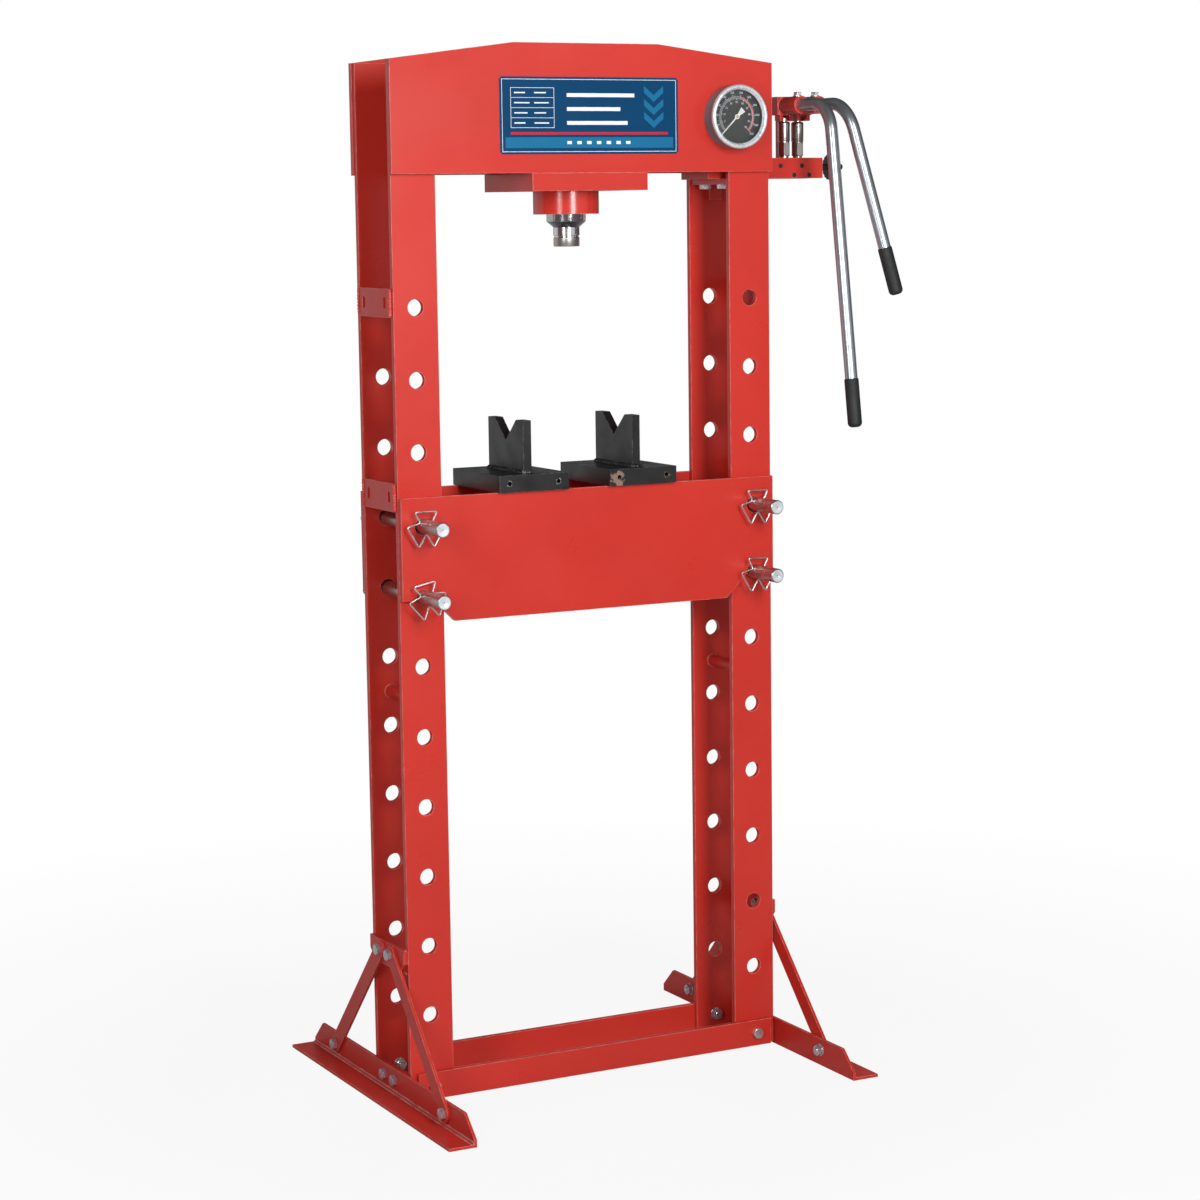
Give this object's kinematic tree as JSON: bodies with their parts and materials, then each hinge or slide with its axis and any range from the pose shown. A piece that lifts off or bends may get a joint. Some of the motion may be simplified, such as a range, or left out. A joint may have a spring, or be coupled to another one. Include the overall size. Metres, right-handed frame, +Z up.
{
  "type": "hydraulic shop press",
  "caption": "Floor-standing hydraulic shop press with a red steel frame, pin-held bed, spring-return ram, hand pump with lever handles, pressure gauge and V blocks.",
  "frame": {"origin": "on the floor under the ram axis", "axes": "+Z up, +X towards the pump side (right), +Y to the rear, -Y towards the operator"},
  "size_m": [0.9651, 0.686, 1.783],
  "materials": {
    "red_enamel": "satin red enamel over plate steel",
    "zinc_plate": "bright zinc plating",
    "ground_steel": "ground bright steel, lightly oiled",
    "chrome_plate": "bright hard chrome or nickel plating",
    "handle_tube": "bright zinc-plated tube",
    "grip_rubber": "matt black rubber sleeve",
    "black_plastic": "moulded black plastic",
    "gauge_glass": "clear flat glass",
    "dial_face": "matt black dial",
    "needle_white": "white enamel",
    "stem_brass": "machined brass",
    "black_enamel": "satin black enamel with chipped edges"
  },
  "bodies": {
    "frame": {"upright_front_left": "red_enamel", "upright_front_right": "red_enamel", "upright_rear_left": "red_enamel", "upright_rear_right": "red_enamel", "head_plate_front": "red_enamel", "head_plate_rear": "red_enamel", "head_webs": "red_enamel", "side_battens": "red_enamel", "column_ties": "red_enamel", "base_rails": "red_enamel", "foot_tabs": "red_enamel", "feet": "red_enamel", "brace_brackets": "red_enamel", "braces": "red_enamel", "bed_plate_front": "red_enamel", "bed_plate_rear": "red_enamel", "bed_spacers": "red_enamel", "ram_plate": "red_enamel", "ram_cylinder": "red_enamel", "pump_block": "red_enamel", "pump_bracket": "red_enamel", "pivot_posts": "red_enamel", "oil_tank": "red_enamel", "rail_bolts": "zinc_plate", "foot_bolts": "zinc_plate", "pump_bolts": "zinc_plate", "lever_pivot": "zinc_plate", "ram_cap": "ground_steel", "ram_gland": "ground_steel", "return_spring": "ground_steel", "oil_pipe": "ground_steel", "pump_barrels": "chrome_plate", "gauge_bezel": "chrome_plate", "gauge_case": "chrome_plate", "gauge_glass": "gauge_glass", "gauge_dial": "dial_face", "gauge_stem": "stem_brass"},
    "ram": {"ram_rod": "chrome_plate", "ram_piston": "ground_steel", "ram_nose": "chrome_plate"},
    "inner_lever": {"lever_inner": "red_enamel", "handle_inner": "handle_tube", "grip_inner": "grip_rubber"},
    "outer_lever": {"lever_outer": "red_enamel", "handle_outer": "handle_tube", "grip_outer": "grip_rubber"},
    "inner_plunger": {"plunger_inner": "chrome_plate"},
    "outer_plunger": {"plunger_outer": "chrome_plate"},
    "release_valve": {"release_knob": "black_plastic"},
    "needle": {"gauge_needle": "needle_white"},
    "upper_left_pin": {"pin_upper_left": "ground_steel", "clips_upper_left": "zinc_plate"},
    "upper_right_pin": {"pin_upper_right": "ground_steel", "clips_upper_right": "zinc_plate"},
    "lower_left_pin": {"pin_lower_left": "ground_steel", "clips_lower_left": "zinc_plate"},
    "lower_right_pin": {"pin_lower_right": "ground_steel", "clips_lower_right": "zinc_plate"},
    "left_v_block": {"v_block_left": "black_enamel"},
    "right_v_block": {"v_block_right": "black_enamel"}
  },
  "joints": [
    {"name": "ram_slide", "type": "slide", "parent": "frame", "child": "ram", "axis": [0, 0, -1], "range_m": [0, 0.15], "stiffness_N_per_m": 800, "springref_m": -0.15, "deforming": ["return_spring"]},
    {"name": "inner_lever_hinge", "type": "hinge", "parent": "frame", "child": "inner_lever", "pos_m": [0.436, 0.038, 1.6835], "axis": [-1, 0, 0], "range_deg": [0, 30]},
    {"name": "outer_lever_hinge", "type": "hinge", "parent": "frame", "child": "outer_lever", "pos_m": [0.472, 0.038, 1.6835], "axis": [-1, 0, 0], "range_deg": [0, 30]},
    {"name": "inner_plunger_slide", "type": "slide", "parent": "frame", "child": "inner_plunger", "axis": [0, 0, 1], "range_m": [0, 0.019]},
    {"name": "outer_plunger_slide", "type": "slide", "parent": "frame", "child": "outer_plunger", "axis": [0, 0, 1], "range_m": [0, 0.0115]},
    {"name": "release_turn", "type": "hinge", "parent": "frame", "child": "release_valve", "pos_m": [0.51, -0.008, 1.576], "axis": [1, 0, 0], "range_deg": [0, 270]},
    {"name": "needle_turn", "type": "hinge", "parent": "frame", "child": "needle", "pos_m": [0.278, -0.107, 1.661], "axis": [0, 1, 0], "range_deg": [0, 270]},
    {"name": "left_v_block_slide", "type": "slide", "parent": "frame", "child": "left_v_block", "axis": [1, 0, 0], "range_m": [-0.095, 0.038]},
    {"name": "right_v_block_slide", "type": "slide", "parent": "frame", "child": "right_v_block", "axis": [1, 0, 0], "range_m": [-0.038, 0.11]},
    {"name": "upper_left_pin_slide", "type": "slide", "parent": "frame", "child": "upper_left_pin", "axis": [0, 1, 0], "range_m": [-0.013, 0.013]},
    {"name": "upper_right_pin_slide", "type": "slide", "parent": "frame", "child": "upper_right_pin", "axis": [0, 1, 0], "range_m": [-0.013, 0.013]},
    {"name": "lower_left_pin_slide", "type": "slide", "parent": "frame", "child": "lower_left_pin", "axis": [0, 1, 0], "range_m": [-0.013, 0.013]},
    {"name": "lower_right_pin_slide", "type": "slide", "parent": "frame", "child": "lower_right_pin", "axis": [0, 1, 0], "range_m": [-0.013, 0.013]}
  ],
  "couplings": [
    {"joint": "inner_plunger_slide", "follows": "inner_lever_hinge", "m_per_rad": 0.034},
    {"joint": "outer_plunger_slide", "follows": "outer_lever_hinge", "m_per_rad": 0.021}
  ]
}
